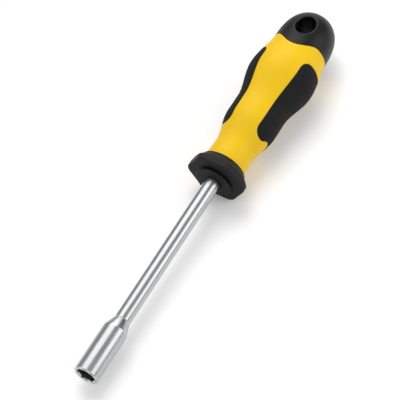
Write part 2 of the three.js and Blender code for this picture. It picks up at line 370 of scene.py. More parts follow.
def with_edges(rings, closed):
    """Rings with a small arc in place of each soft corner, and the rim value of each ring."""
    places = [np.stack(np.broadcast_arrays(x + 0 * angles, r), -1) for x, r, *_ in rings]
    out = []
    for i, (_, _, soft, *wear_and_highlight) in enumerate(rings):
        here = places[i]
        least_rim = max(wear_and_highlight, default=0.0)
        at_end = not closed and i in (0, len(rings) - 1)
        if soft == 0 or at_end:
            out.append((here, least_rim))
            continue
        before = places[i - 1] - here
        after = places[(i + 1) % len(rings)] - here
        before_length = np.linalg.norm(before, axis=-1, keepdims=True)
        after_length = np.linalg.norm(after, axis=-1, keepdims=True)
        cut = np.minimum(soft, EDGE_LIMIT * np.minimum(before_length, after_length))
        start = here + before / before_length * cut
        end = here + after / after_length * cut
        for step in range(EDGE_STEPS + 1):
            t = step / EDGE_STEPS
            place = (1 - t) ** 2 * start + 2 * t * (1 - t) * here + t**2 * end
            out.append((place, max(4 * t * (1 - t), least_rim)))
    return out


def turned(name, rings, closed, material):
    """A mesh that joins the rings round the tool's axis."""
    soft_rings = with_edges(rings, closed)
    points = []
    rims = []
    for ring, rim in soft_rings:
        x, radius = ring.T
        points.append(np.stack([x, radius * np.cos(angles), radius * np.sin(angles)], -1))
        rims.append(np.full(SIDES, rim))
    count = len(soft_rings)
    index = np.arange(count * SIDES).reshape(count, SIDES)
    last = count if closed else count - 1
    faces = []
    for i in range(last):
        here = index[i]
        there = index[(i + 1) % count]
        faces.append(np.stack([here, np.roll(here, -1), np.roll(there, -1), there], -1))
    return mesh_piece(name, np.concatenate(points), np.concatenate(faces), np.concatenate(rims), material)


def mesh_piece(name, points, faces, rims, material):
    """A new object from points that are given from the tool's own spot."""
    mesh = bpy.data.meshes.new(name)
    mesh.from_pydata((np.asarray(points) + np.array(tool_place)).tolist(), [], np.asarray(faces).tolist())
    attribute = mesh.attributes.new("rim", "FLOAT", "POINT")
    attribute.data.foreach_set("value", np.asarray(rims, np.float32))
    mesh.materials.append(material)
    piece = bpy.data.objects.new(name, mesh)
    scene.collection.objects.link(piece)
    close_up(piece)
    return piece


SHARP_ANGLE = radians(32)
WELD = 0.0005 * MM


def close_up(piece):
    """Welds what meets, turns the faces outwards and keeps only real edges sharp."""
    work = bmesh.new()
    work.from_mesh(piece.data)
    bmesh.ops.remove_doubles(work, verts=work.verts, dist=WELD)
    bmesh.ops.dissolve_degenerate(work, edges=work.edges, dist=WELD)
    bmesh.ops.recalc_face_normals(work, faces=work.faces)
    if work.calc_volume(signed=True) < 0:
        bmesh.ops.reverse_faces(work, faces=work.faces)
    open_edges = sum(1 for edge in work.edges if len(edge.link_faces) != 2)
    volume = work.calc_volume(signed=True) / MM**3
    work.to_mesh(piece.data)
    work.free()
    piece.data.polygons.foreach_set("use_smooth", [True] * len(piece.data.polygons))
    piece.data.set_sharp_from_angle(angle=SHARP_ANGLE)
    print(f"{piece.name}: {len(piece.data.polygons)} faces, {volume:.0f} mm3, {open_edges} open edges")


def stands_for(piece, node):
    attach(piece, "root")
    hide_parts(node)


print(f"{SIDES} sides to a round")

# %% [markdown]
# ### Shank
# The shank is plain bar. Its front end is turned down to a stub that fills the head behind the hexagon,
# and its back end is a tang with two flat wings, so that it can't turn in the handle. Only the bar shows,
# but the piece is whole: a wing is a plate through the bar, so the radius is whichever of the two reaches
# further at each angle.

# %% Shank
shank_radius = (shank_high.y - shank_low.y) / 2
STUB_RADIUS = 3.0 * MM
stub_end_x = shank_low.x - face_x
tang_end_x = shank_high.x - face_x
TANG_CHAMFER = 1.0 * MM
WING_X = 44 * MM
WING_LENGTH = 16 * MM
WING_HALF_SPAN = 6.2 * MM
WING_HALF_THICKNESS = 1.5 * MM
WING_SLOPE = 3 * MM
FIT_GAP = 0.02 * MM
BAR_EDGE = 0.15 * MM
with np.errstate(divide="ignore"):
    plate_ends = WING_HALF_SPAN / np.abs(np.sin(angles))
    plate_faces = WING_HALF_THICKNESS / np.abs(np.cos(angles))
winged = np.maximum(shank_radius, np.minimum(plate_ends, plate_faces))
wing_end_x = WING_X + WING_LENGTH
shank_rings = [
    (stub_end_x, 0, 0),
    (stub_end_x, STUB_RADIUS, BAR_EDGE),
    (head_back_x + FIT_GAP, STUB_RADIUS, 0),
    (head_back_x + FIT_GAP, shank_radius, BAR_EDGE),
    (WING_X, shank_radius, 0),
    (WING_X + WING_SLOPE, winged, 0),
    (wing_end_x - WING_SLOPE, winged, 0),
    (wing_end_x, shank_radius, 0),
    (tang_end_x - TANG_CHAMFER, shank_radius, BAR_EDGE),
    (tang_end_x, shank_radius - TANG_CHAMFER, 0),
    (tang_end_x, 0, 0),
]
shank = turned("steel_shank", shank_rings, False, shank_steel)
stands_for(shank, "shank")

# %% [markdown]
# ### Socket head
# The head is turned, broached to a hexagon from the mouth and countersunk, so a nut finds its way in.
# Where the countersink meets the flats it leaves the small arcs that every socket shows. They need no
# cutting here: the meeting point is worked out at each angle, because the cone's radius falls by as much
# as x grows.

# %% Socket head
HEX_FLATS = 9.1 * MM
HEX_DEPTH = 20 * MM
LEAD_IN = 0.9 * MM
CONE_LENGTH = 6.3 * MM
head_radius = (head_high.y - head_low.y) / 2
bore_radius = STUB_RADIUS + FIT_GAP
MOUTH_CHAMFER = 0.45 * MM
CONE_EDGE = 0.14 * MM
HEX_CORNER = 0.15 * MM
hex_radius = hexagon(HEX_FLATS, HEX_CORNER)
countersink = HEX_FLATS / 2 + LEAD_IN
head_rings = [
    (head_back_x, bore_radius, 0),
    (head_back_x, shank_radius, CONE_EDGE),
    (head_back_x - CONE_LENGTH, head_radius, CONE_EDGE),
    (mouth_x + MOUTH_CHAMFER, head_radius, CONE_EDGE),
    (mouth_x, head_radius - MOUTH_CHAMFER, CONE_EDGE),
    (mouth_x, countersink, CONE_EDGE),
    (mouth_x + countersink - hex_radius, hex_radius, CONE_EDGE),
    (mouth_x + HEX_DEPTH, hex_radius, 0),
    (mouth_x + HEX_DEPTH, bore_radius, 0),
]
head = turned("steel_socket_head", head_rings, True, head_steel)
stands_for(head, "socket_head")

# %% [markdown]
# ### Collar
# The collar is a hexagonal flange with a round boss in front and a cone behind. A groove sets the boss
# off, and it shows as a dark crescent. As with the socket, the line where the cone cuts the six flats is
# worked out at each angle, and it comes out as the arched edge of a bolt head. The flats are glossier and
# painted lighter than the front, partly as rubbed wear and partly as a painted highlight.

# %% Collar
COLLAR_FLATS = 29.6 * MM
COLLAR_CORNER = 5.0 * MM
BOSS_RADIUS = 9.8 * MM
BOSS_HEIGHT = 2.0 * MM
BOSS_LIP = 0.7 * MM
GROOVE_RADIUS = 7.8 * MM
FLANGE_BACK = 5.3 * MM
FLANGE_CHAMFER = 0.5 * MM
RING_RADIUS = 12.4 * MM
RING_WIDTH = 0.8 * MM
RECESS_RADIUS = 4.55 * MM
RECESS_DEPTH = 0.9 * MM
SEAT_RADIUS = 7.5 * MM
WEB_BACK = 4.0 * MM
LIP_EDGE = 0.2 * MM
FLANGE_EDGE = 0.25 * MM
GROOVE_EDGE = 0.3 * MM
BOSS_EDGE = 0.35 * MM
ARCH_EDGE = 0.5 * MM
FLAT_WEAR_AND_HIGHLIGHT = 0.8
collar_length = collar_high.x - collar_low.x
collar_hex = hexagon(COLLAR_FLATS, COLLAR_CORNER)
chamfer_hex = hexagon(COLLAR_FLATS - 2 * FLANGE_CHAMFER, COLLAR_CORNER - FLANGE_CHAMFER)
cone_front = collar_hex.max()
cone_run = (collar_length - RING_WIDTH - FLANGE_BACK) / (cone_front - RING_RADIUS)
arch_x = FLANGE_BACK + (cone_front - collar_hex) * cone_run
collar_rings = [
    (0, RECESS_RADIUS, LIP_EDGE),
    (0, BOSS_RADIUS, BOSS_EDGE),
    (BOSS_LIP, BOSS_RADIUS, LIP_EDGE),
    (BOSS_LIP, GROOVE_RADIUS, GROOVE_EDGE),
    (BOSS_HEIGHT, GROOVE_RADIUS, GROOVE_EDGE),
    (BOSS_HEIGHT, chamfer_hex, FLANGE_EDGE),
    # The flats' rim value makes them glossier and paints them lighter: partly wear, partly a painted
    # highlight.
    (BOSS_HEIGHT + FLANGE_CHAMFER, collar_hex, FLANGE_EDGE, FLAT_WEAR_AND_HIGHLIGHT),
    (arch_x, collar_hex, ARCH_EDGE, FLAT_WEAR_AND_HIGHLIGHT),
    (collar_length - RING_WIDTH, RING_RADIUS, GROOVE_EDGE),
    (collar_length, RING_RADIUS, FLANGE_EDGE),
    (collar_length, SEAT_RADIUS, 0),
    (WEB_BACK, SEAT_RADIUS, 0),
    (WEB_BACK, shank_radius + FIT_GAP, 0),
    (RECESS_DEPTH, shank_radius + FIT_GAP, 0),
    (RECESS_DEPTH, RECESS_RADIUS, GROOVE_EDGE),
]
collar = turned("hexagonal_collar", collar_rings, True, collar_black)
stands_for(collar, "hex_collar")

# %% [markdown]
# ## Handle
# The sleeve, the two grips and the cap share one smooth form. It could be sculpted and then cut with
# Booleans, but cut edges on a curved skin shade badly. Instead each piece is drawn flat, as a tailor
# draws a pattern: x along the handle, the arc over its side across it, and the depth below the skin. A
# tree of Geometry Nodes then wraps the pattern round the handle. The form itself is a rule: eased steps
# from one half width to the next, a dome for the butt, and a little flattening. Only a quarter is drawn,
# since top and bottom, left and right are alike.

# %% Sizes of the handle
HANDLE_SIZES = {
    "Root radius": 11.2 * MM,
    "Neck x": 21.5 * MM,
    "Neck radius": 10.85 * MM,
    "Fore x": 39.5 * MM,
    "Fore radius": 14.3 * MM,
    "Waist x": 50.0 * MM,
    "Waist radius": 14.25 * MM,
    "Palm x": 71.5 * MM,
    "Palm radius": 18.4 * MM,
    "Tail radius": 15.45 * MM,
    "Dome length": 21.0 * MM,
    "Dome fullness": 2.3,
    "Flatness": 0.94,
    "Flatness x": 35.0 * MM,
}
ARC_RADIUS = 14.5 * MM
TOP_ARC = ARC_RADIUS * pi / 2
tail_x = butt_x - HANDLE_SIZES["Dome length"]
print(f"the dome starts {tail_x / MM:.1f} mm behind the collar")

# %% [markdown]
# The tree reads a flat point as x, arc and depth. Map Range with its Smoothstep setting is the easing
# from one half width to the next, so the half width is a plain sum. The attribute called drop lowers a
# point straight down, for the walls of the hang hole, and never past the middle of the handle.


# %% The tree that wraps a flat pattern
def eased(sheet, value, start, end, low, high):
    inputs = {0: value, 1: start, 2: end, 3: low, 4: high}
    return sheet.node("ShaderNodeMapRange", {"interpolation_type": "SMOOTHSTEP"}, inputs)


def handle_tree():
    tree = bpy.data.node_groups.new("handle_wrap", "GeometryNodeTree")
    face = tree.interface
    face.new_socket("Pattern", in_out="INPUT", socket_type="NodeSocketGeometry")
    for name, value in HANDLE_SIZES.items():
        face.new_socket(name, in_out="INPUT", socket_type="NodeSocketFloat").default_value = value
    for side in ("Right", "Left"):
        face.new_socket(side, in_out="INPUT", socket_type="NodeSocketBool").default_value = True
    face.new_socket("Finish", in_out="INPUT", socket_type="NodeSocketMaterial")
    face.new_socket("Piece", in_out="OUTPUT", socket_type="NodeSocketGeometry")

    sheet = NodeSheet(tree)
    size = sheet.node("NodeGroupInput")
    flat = sheet.node("ShaderNodeSeparateXYZ", {}, {0: sheet.node("GeometryNodeInputPosition")})
    x = flat["X"]
    depth = flat["Z"]
    angle = flat["Y"] / ARC_RADIUS
    drop = sheet.node("GeometryNodeInputNamedAttribute", {"data_type": "FLOAT"}, {"Name": "drop"})

    steps = [
        (collar_length, size["Neck x"], size["Root radius"], size["Neck radius"]),
        (size["Neck x"], size["Fore x"], size["Neck radius"], size["Fore radius"]),
        (size["Fore x"], size["Waist x"], size["Fore radius"], size["Waist radius"]),
        (size["Waist x"], size["Palm x"], size["Waist radius"], size["Palm radius"]),
        (size["Palm x"], tail_x, size["Palm radius"], size["Tail radius"]),
    ]
    half_width = size["Root radius"] - depth
    for start, end, low, high in steps:
        half_width = half_width + eased(sheet, x, start, end, 0.0, high - low)
    up_dome = span(sheet, x, tail_x, tail_x + size["Dome length"])
    dome = sheet.math("MAXIMUM", 1 - up_dome ** size["Dome fullness"], 0) ** (1 / size["Dome fullness"])
    radius = half_width * dome
    squeeze = eased(sheet, x, collar_length, size["Flatness x"], 1.0, size["Flatness"])
    height = radius * sheet.math("SINE", angle) * squeeze
    wrapped = sheet.node("ShaderNodeCombineXYZ", {}, {
        "X": x - depth * up_dome,
        "Y": radius * sheet.math("COSINE", angle) * -1,
        "Z": sheet.math("MAXIMUM", height - drop, 0),
    })

    def mirrored(part, scale):
        other = sheet.node("GeometryNodeTransform", {}, {"Geometry": part, "Scale": scale})
        return sheet.node("GeometryNodeFlipFaces", {}, {"Mesh": other})

    def joined(*parts):
        join = sheet.node("GeometryNodeJoinGeometry")
        for part in parts:
            sheet.tree.links.new(part.socket, join.socket.node.inputs[0])
        return join

    quarter = sheet.node("GeometryNodeSetPosition", {}, {"Geometry": size["Pattern"], "Position": wrapped})
    right = joined(quarter, mirrored(quarter, (1, 1, -1)))
    left = mirrored(right, (1, -1, 1))
    sides = []
    for name, half in (("Right", right), ("Left", left)):
        shown = {"Switch": size[name], "True": half}
        sides.append(sheet.node("GeometryNodeSwitch", {"input_type": "GEOMETRY"}, shown))
    whole = sheet.node("GeometryNodeMergeByDistance", {}, {"Geometry": joined(*sides), "Distance": WELD})
    placed = sheet.node("GeometryNodeTransform", {}, {"Geometry": whole, "Translation": tool_place})
    real = sheet.node("GeometryNodeRealizeInstances", {}, {"Geometry": placed})
    dressed = sheet.node("GeometryNodeSetMaterial", {}, {"Geometry": real, "Material": size["Finish"]})
    sheet.node("NodeGroupOutput", {}, {"Piece": dressed})
    return tree


wrap_tree = handle_tree()
print(f"{wrap_tree.name}: {len(wrap_tree.nodes)} nodes, {len(HANDLE_SIZES)} sizes")

# %% [markdown]
# A pattern is written as sheets: grids of flat points, joined into faces row by row. A strip joins two
# rows that belong to different sheets, such as the skin and the lining of one wall. When the pattern is
# whole, the tree wraps it, the result is copied to a plain mesh, and the tree is taken off again.


# %% Writing and wrapping a pattern
class Pattern:
    """Flat points and faces of one piece."""

    def __init__(self):
        self.points = []
        self.faces = []
        self.rim = []
        self.drop = []
        self.hole_shade = []

    def sheet(self, rows, turned_over=False, rim=0.0, drop=0.0, hole_shade=0.0):
        """Adds a grid of points, given as rows, and returns their numbers."""
        rows = np.asarray(rows)
        shape = rows.shape[:2]
        index = len(self.points) + np.arange(shape[0] * shape[1]).reshape(shape)
        self.points.extend(rows.reshape(-1, 3).tolist())
        self.rim.extend(np.broadcast_to(rim, shape).ravel().tolist())
        self.drop.extend(np.broadcast_to(drop, shape).ravel().tolist())
        self.hole_shade.extend(np.broadcast_to(hole_shade, shape).ravel().tolist())
        for first, second in zip(index[:-1], index[1:]):
            self.strip(first, second, turned_over)
        return index

    def strip(self, first, second, turned_over=False):
        faces = np.stack([first[:-1], first[1:], second[1:], second[:-1]], -1)
        self.faces.extend((faces[:, ::-1] if turned_over else faces).tolist())

    def wrap(self, name, material, right=True, left=True):
        """The finished piece, as a plain mesh round the handle."""
        mesh = bpy.data.meshes.new(name + "_pattern")
        mesh.from_pydata(self.points, [], self.faces)
        for attribute, values in (("rim", self.rim), ("drop", self.drop), ("hole_shade", self.hole_shade)):
            mesh.attributes.new(attribute, "FLOAT", "POINT").data.foreach_set("value", values)
        piece = bpy.data.objects.new(name, mesh)
        scene.collection.objects.link(piece)
        modifier = piece.modifiers.new("wrap", "NODES")
        modifier.node_group = wrap_tree
        chosen = {"Right": right, "Left": left, "Finish": material, **HANDLE_SIZES}
        for item in wrap_tree.interface.items_tree:
            if item.in_out == "INPUT" and item.name in chosen:
                modifier[item.identifier] = chosen[item.name]
        seen = piece.evaluated_get(bpy.context.evaluated_depsgraph_get())
        piece.data = bpy.data.meshes.new_from_object(seen)
        piece.modifiers.remove(modifier)
        piece.data.attributes.remove(piece.data.attributes["drop"])
        close_up(piece)
        return piece


print("patterns can be wrapped")

# %% [markdown]
# ### Outlines
# The seams are curves, so they are drawn with Bezier pieces and then divided evenly. Each grip is a long
# window with two lobes towards the collar, a notch between them, and a nearly straight end. The seam of
# the cap is a wave with a tongue on top and one below. Half of each is enough.

# %% Seams of the grips and of the cap
CORNER_PULL = 0.6


def bezier(*corners, count=24):
    t = np.linspace(0, 1, count)[:, None]
    a, b, c, d = (np.array(corner) for corner in corners)
    return (1 - t) ** 3 * a + 3 * t * (1 - t) ** 2 * b + 3 * t**2 * (1 - t) * c + t**3 * d


def bend(start, corner, end):
    """A rounded corner: the curve leaves each end towards the corner and never reaches it."""
    start, corner, end = (np.array(point) for point in (start, corner, end))
    return bezier(start, start + CORNER_PULL * (corner - start), end + CORNER_PULL * (corner - end), end)


def evenly(path, count, dense_ends=False):
    """A path divided into equal lengths, or into shorter ones near its ends."""
    path = np.asarray(path)
    length = np.concatenate([[0], np.cumsum(np.linalg.norm(np.diff(path, axis=0), axis=1))])
    share = np.linspace(0, 1, count)
    if dense_ends:
        share = (1 - np.cos(pi * share)) / 2
    wanted = share * length[-1]
    return np.stack([np.interp(wanted, length, path[:, 0]), np.interp(wanted, length, path[:, 1])], -1)


CAP_LENGTH = 23.9 * MM
CAP_TONGUE = 5.5 * MM
CAP_TONGUE_ANGLE = radians(52)
BAND_WIDTH = 10.9 * MM
GRIP_HALF_ARC = 14.1 * MM
GRIP_TAPER = 0.5 * MM
GRIP_LOBE_X = 30.3 * MM
GRIP_LOBE_ARC = 7.6 * MM
GRIP_NOTCH = 2.9 * MM
GRIP_FRONT_CORNER = 5.7 * MM
GRIP_REAR_CORNER = 6.2 * MM
GRIP_REAR_ARC = 8.5 * MM
GRIP_REAR_DIP = 0.4 * MM
cap_seam_x = butt_x - CAP_LENGTH
grip_rear_x = cap_seam_x - BAND_WIDTH


def grip_outline(inset, count):
    """Half the outline of a grip, from its notch round to the middle of its rear end."""
    half = GRIP_HALF_ARC - inset
    rear_half = half - GRIP_TAPER
    front = GRIP_LOBE_X + inset
    notch = front + GRIP_NOTCH
    rear = grip_rear_x - inset
    dip = rear - GRIP_REAR_DIP
    lobe = (front, GRIP_LOBE_ARC)
    side_start = (front + GRIP_FRONT_CORNER, half)
    side_end = (rear - GRIP_REAR_CORNER, rear_half)
    rear_end = (rear, GRIP_REAR_ARC)
    path = np.concatenate([
        bezier((notch, 0), (notch, GRIP_LOBE_ARC / 2), (front, GRIP_LOBE_ARC / 2), lobe),
        bend(lobe, (front, half), side_start)[1:],
        bend(side_end, (rear, rear_half), rear_end),
        bezier(rear_end, (rear, GRIP_REAR_ARC / 2), (dip, GRIP_REAR_ARC / 2), (dip, 0))[1:],
    ])
    return evenly(path, count)


def cap_seam(arc, offset=0.0):
    """Where along the handle the cap starts, at each arc from the side to the top."""
    from_top = (TOP_ARC - arc) / ARC_RADIUS
    wave = np.minimum(from_top / CAP_TONGUE_ANGLE, 1) * pi
    return cap_seam_x + offset - CAP_TONGUE * (1 + np.cos(wave)) / 2


def inward(path, sign):
    """Unit vectors across a path, square to the lines of symmetry at its two ends."""
    along_path = np.gradient(path, axis=0)
    along_path[0] = along_path[1] * (0, 1)
    along_path[-1] = along_path[-2] * (0, 1)
    across_path = np.stack([-along_path[:, 1], along_path[:, 0]], -1) * sign
    return across_path / np.linalg.norm(across_path, axis=1, keepdims=True)


print(f"grip {(grip_rear_x - GRIP_LOBE_X) / MM:.1f} mm long, cap seam at {cap_seam_x / MM:.1f} mm")

# %% [markdown]
# ### Grip pads
# Each pad is moulded into its window in the sleeve. Its edge is rolled over by a third of a millimetre,
# so the seam shows as a fine dark line and not as a flat change of colour. Rows follow the outline
# inwards to a line down the middle of the side, which keeps every face small and even.

# %% Grip pads
SKIN = 2.7 * MM
SEAM_GAP = 0.03 * MM
SEAM_EDGE = 0.32 * MM
EDGE_ROWS = 6
roll = np.linspace(0, pi / 2, EDGE_ROWS)
edge_in = SEAM_EDGE * (1 - np.cos(roll))
edge_down = SEAM_EDGE * (1 - np.sin(roll))
edge_rim = np.sin(2 * roll)
PAD_COLUMNS = 150
PAD_ROWS = 16


def raised(flat, depth):
    """Flat points with a depth below the skin."""
    return np.concatenate([flat, np.broadcast_to(depth, flat.shape[:-1])[..., None]], -1)


def grip_pattern():
    outline = grip_outline(SEAM_GAP, PAD_COLUMNS)
    normal = inward(outline, -1)
    edge = np.stack([outline + d * normal for d in edge_in])
    inner = edge[-1]
    spine = np.stack([np.linspace(inner[0, 0], inner[-1, 0], PAD_COLUMNS), 0 * inner[:, 1]], -1)
    share = np.linspace(0, 1, PAD_ROWS)[1:, None, None]
    field = inner + share * (spine - inner)
    pattern = Pattern()
    rows = np.concatenate([edge, field])
    depth = np.concatenate([edge_down, np.zeros(PAD_ROWS - 1)])[:, None]
    rim = np.concatenate([edge_rim, np.zeros(PAD_ROWS - 1)])[:, None]
    skin = pattern.sheet(raised(rows, depth), rim=rim)
    lining_rows = np.concatenate([edge[:1], field])
    lining = pattern.sheet(raised(lining_rows, SKIN), turned_over=True)
    pattern.strip(lining[0], skin[0])
    return pattern


grip = grip_pattern()
grip_right = grip.wrap("soft_grip_right", rubber, left=False)
stands_for(grip_right, "grip_pad_right")
grip_left = grip.wrap("soft_grip_left", rubber, right=False)
stands_for(grip_left, "grip_pad_left")

# %% [markdown]
# ### Yellow sleeve
# The sleeve is what is left: a neck behind the collar, a ridge above and one below, and a band in front
# of the cap. Its rows run from the window's outline out to the front end, the top of the ridge and the
# seam of the cap. The last rows crowd together, because that is where the edge is rolled over.

# %% Yellow sleeve
SLEEVE_FRONT = collar_length + SEAM_GAP
SLEEVE_ROWS = 26
SLEEVE_END_SHARE = 0.02
FRONT_COLUMNS = 36
RIDGE_COLUMNS = 76
SEAM_COLUMNS = 38


def frame_path(first, second, third):
    """Three lines joined into one path, with the corners counted once."""
    return np.concatenate([first, second[1:], third[1:]])


def distance_drop(distance):
    """How far the rolled edge lies below the skin, at a distance from the seam."""
    inside = np.clip(SEAM_EDGE - distance, 0, SEAM_EDGE)
    return SEAM_EDGE - np.sqrt(SEAM_EDGE**2 - inside**2)


def crowded_rows(count, end_share):
    """Shares of the way from the inner row to the outer one, crowded near the outer one."""
    return np.concatenate([np.linspace(0, 1, count)[1:-1], 1 - edge_in[::-1] / SEAM_EDGE * end_share])


def sleeve_pattern():
    arc_up = np.linspace(0, TOP_ARC, FRONT_COLUMNS)
    front = np.stack([0 * arc_up + SLEEVE_FRONT, arc_up], -1)
    arc_down = np.linspace(TOP_ARC, 0, SEAM_COLUMNS)
    seam = np.stack([cap_seam(arc_down, -SEAM_GAP), arc_down], -1)
    ridge = evenly(np.array([front[-1], seam[0]]), RIDGE_COLUMNS, dense_ends=True)
    outer = frame_path(front, ridge, seam)
    columns = len(outer)
    outline = grip_outline(-SEAM_GAP, columns)
    normal = inward(outline, 1)
    edge = np.stack([outline + d * normal for d in edge_in])
    inner = edge[-1]
    share = crowded_rows(SLEEVE_ROWS, SLEEVE_END_SHARE)
    field = inner + share[:, None, None] * (outer - inner)
    from_seam = cap_seam(field[..., 1], -SEAM_GAP) - field[..., 0]
    from_front = field[..., 0] - SLEEVE_FRONT
    field_depth = distance_drop(np.minimum(from_seam, from_front))
    pattern = Pattern()
    depth = np.concatenate([np.broadcast_to(edge_down[:, None], edge.shape[:2]), field_depth])
    rim = np.concatenate([np.broadcast_to(edge_rim[:, None], edge.shape[:2]), field_depth / SEAM_EDGE])
    skin = pattern.sheet(raised(np.concatenate([edge, field]), depth), turned_over=True, rim=rim)
    lining = pattern.sheet(raised(np.concatenate([edge[:1], field]), SKIN))
    pattern.strip(lining[0], skin[0], turned_over=True)
    ends = (slice(0, FRONT_COLUMNS), slice(columns - SEAM_COLUMNS, columns))
    for end in ends:
        pattern.strip(lining[-1][end], skin[-1][end])
    return pattern


sleeve = sleeve_pattern().wrap("yellow_sleeve", yellow)
stands_for(sleeve, "handle_body")

# %% [markdown]
# ### Butt cap
# The cap is a dome with an oval hang hole right through it. Its rows start half way down the hole, climb
# its wall, round its rim and spread over the dome to the seam. Behind the hole the rows run on to the
# tip, where they close.

# %% Butt cap
HANG_SETBACK = 14.8 * MM
HANG_HALF_LENGTH = 6.3 * MM
HANG_HALF_ARC = 4.9 * MM
LINER_WALL = 1.6 * MM
HOLE_EDGE = 1.1 * MM
HOLE_ROWS = 10
CAP_ROWS = 22
CAP_END_SHARE = 0.03
CAP_SEAM_COLUMNS = 40
CAP_SIDE_COLUMNS = 30
CAP_BACK_COLUMNS = 40
TIP_ROWS = 22
FAR_DOWN = 1.0
hang_x = butt_x - HANG_SETBACK
dome_length = HANDLE_SIZES["Dome length"]
TIP_START = radians(46)
tip_x = tail_x + dome_length * sin(TIP_START)


def hole_outline(grow, count):
    """Half the oval of the hang hole, from its front round its side to its back."""
    turn = np.linspace(pi, 0, count)
    x = hang_x + (HANG_HALF_LENGTH + grow) * np.cos(turn)
    return np.stack([x, TOP_ARC - (HANG_HALF_ARC + grow) * np.sin(turn)], -1)


def cap_sheet(pattern, skin_depth, grow, edge_radius, turned_over):
    """One surface of the cap: the wall of the hole, its rim, the dome and the tip."""
    arc_down = np.linspace(TOP_ARC, 0, CAP_SEAM_COLUMNS)
    seam = np.stack([cap_seam(arc_down, SEAM_GAP), arc_down], -1)
    side = evenly(np.array([seam[-1], (tip_x, 0)]), CAP_SIDE_COLUMNS)
    arc_up = np.linspace(0, TOP_ARC, CAP_BACK_COLUMNS)
    back = np.stack([0 * arc_up + tip_x, arc_up], -1)
    outer = frame_path(seam, side, back)
    columns = len(outer)
    outline = hole_outline(grow, columns)
    normal = np.stack([outline[:, 0] - hang_x, outline[:, 1] - TOP_ARC], -1)
    normal[:, 0] /= HANG_HALF_LENGTH**2
    normal[:, 1] /= HANG_HALF_ARC**2
    normal /= np.linalg.norm(normal, axis=1, keepdims=True)
    turn = np.linspace(0, pi / 2, HOLE_ROWS)
    edge = np.stack([outline + d * normal for d in edge_radius * (1 - np.cos(turn))])
    edge_drop = edge_radius * (1 - np.sin(turn))
    share = crowded_rows(CAP_ROWS, CAP_END_SHARE)
    field = edge[-1] + share[:, None, None] * (outer - edge[-1])
    from_seam = field[..., 0] - cap_seam(field[..., 1], SEAM_GAP)
    field_depth = skin_depth + (distance_drop(from_seam) if edge_radius else 0 * from_seam)
    rows = np.concatenate([edge[:1], edge, field])
    depth = np.concatenate([np.full((HOLE_ROWS + 1, columns), skin_depth), field_depth])
    drop = np.concatenate([[FAR_DOWN], edge_drop, np.zeros(len(field))])[:, None]
    rim = np.concatenate([[0], np.sin(2 * turn), np.zeros(len(field))])[:, None]
    # The rows deep in the hole are marked for painted shade, which the finish turns black.
    hole_shade = (drop == FAR_DOWN).astype(float)
    skin = pattern.sheet(raised(rows, depth), turned_over, rim, drop, hole_shade)
    climb = np.linspace(TIP_START, pi / 2, TIP_ROWS)
    tip = np.stack([np.stack([0 * arc_up + tail_x + dome_length * sin(a), arc_up], -1) for a in climb])
    pattern.sheet(raised(tip, skin_depth), not turned_over)
    return skin[-1][:CAP_SEAM_COLUMNS]


def cap_pattern():
    pattern = Pattern()
    outside = cap_sheet(pattern, 0.0, 0.0, HOLE_EDGE, False)
    inside = cap_sheet(pattern, SKIN, LINER_WALL, 0.0, True)
    pattern.strip(outside, inside)
    return pattern


cap = cap_pattern().wrap("butt_cap_shell", cap_black)
stands_for(cap, "butt_cap")

# %% [markdown]
# ### Core
# The core is the hard plastic between the tang and the skin. It hardly shows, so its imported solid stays,
# with a moulded finish.

# %% Core
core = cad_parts["handle_core"]
core.data.materials.clear()
core.data.materials.append(core_black)
print("core keeps its solid")

# %% [markdown]
# ## Table and light
# A tool that lies down tips until two places touch: here the palm swell and the bottom flat of the
# collar. The table is the plane under both, found by halving the slope until they are equally far from
# it. It ends close to the left of the tool, so that steel and black plastic mirror the room there and not
# white paper.


# %% Table under the tool
def points_of(piece):
    return np.array([vertex.co for vertex in piece.data.vertices])


collar_points = points_of(collar)
handle_points = np.concatenate([points_of(sleeve), points_of(cap)])


def lowest(points, slope):
    return (points[:, 2] - slope * points[:, 0]).min()


HALVINGS = 40
steepest = -0.1
flattest = 0.0
for _ in range(HALVINGS):
    slope = (steepest + flattest) / 2
    if lowest(collar_points, slope) > lowest(handle_points, slope):
        flattest = slope
    else:
        steepest = slope
table_height = lowest(handle_points, slope)
TABLE_LENGTH = 0.64
TABLE_RIGHT = -0.3
TABLE_LEFT = 0.06
table_ends = (-TABLE_LENGTH / 2, TABLE_LENGTH / 2)
corners = [(x, TABLE_RIGHT) for x in table_ends] + [(x, TABLE_LEFT) for x in reversed(table_ends)]
table_mesh = bpy.data.meshes.new("table")
table_points = [(x, y, slope * x + table_height) for x, y in corners]
table_mesh.from_pydata(table_points, [], [(0, 1, 2, 3)])
table = bpy.data.objects.new("table", table_mesh)
scene.collection.objects.link(table)
table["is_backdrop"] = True
print(f"the table slopes by {np.degrees(np.arctan(slope)):.2f} degrees")

# %% [markdown]
# The table is white paper. What the camera, metal and glass see of it is lifted a little by a white glow,
# so that it is as white as the background, yet the tool's shadow stays on it.


# %% White table
TABLE_GLOW = 0.12
PAPER_WHITE = (0.95, 0.95, 0.95)


def looked_at(sheet):
    """1 for what the camera, metal or glass looks at, and 0 for light that only bounces."""
    path = sheet.node("ShaderNodeLightPath")
    seen = sheet.math("MAXIMUM", path["Is Camera Ray"], path["Is Glossy Ray"])
    return sheet.math("MAXIMUM", seen, path["Is Transmission Ray"])


def white_table():
    material, sheet = new_finish("white_table")
    paper = sheet.node("ShaderNodeBsdfDiffuse", {}, {"Color": shade(PAPER_WHITE)})
    glow = sheet.node("ShaderNodeEmission", {}, {"Color": looked_at(sheet) * TABLE_GLOW, "Strength": 1.0})
    surface = sheet.node("ShaderNodeAddShader", {}, {0: paper, 1: glow})
    sheet.node("ShaderNodeOutputMaterial", {}, {"Surface": surface})
    return material


table_mesh.materials.append(white_table())
print(f"the table is {TABLE_LENGTH:.2f} m by {TABLE_LEFT - TABLE_RIGHT:.2f} m")

# %% [markdown]
# The background is the world itself: plain white to look at, and a dimmer, even light for everything that
# it falls on.

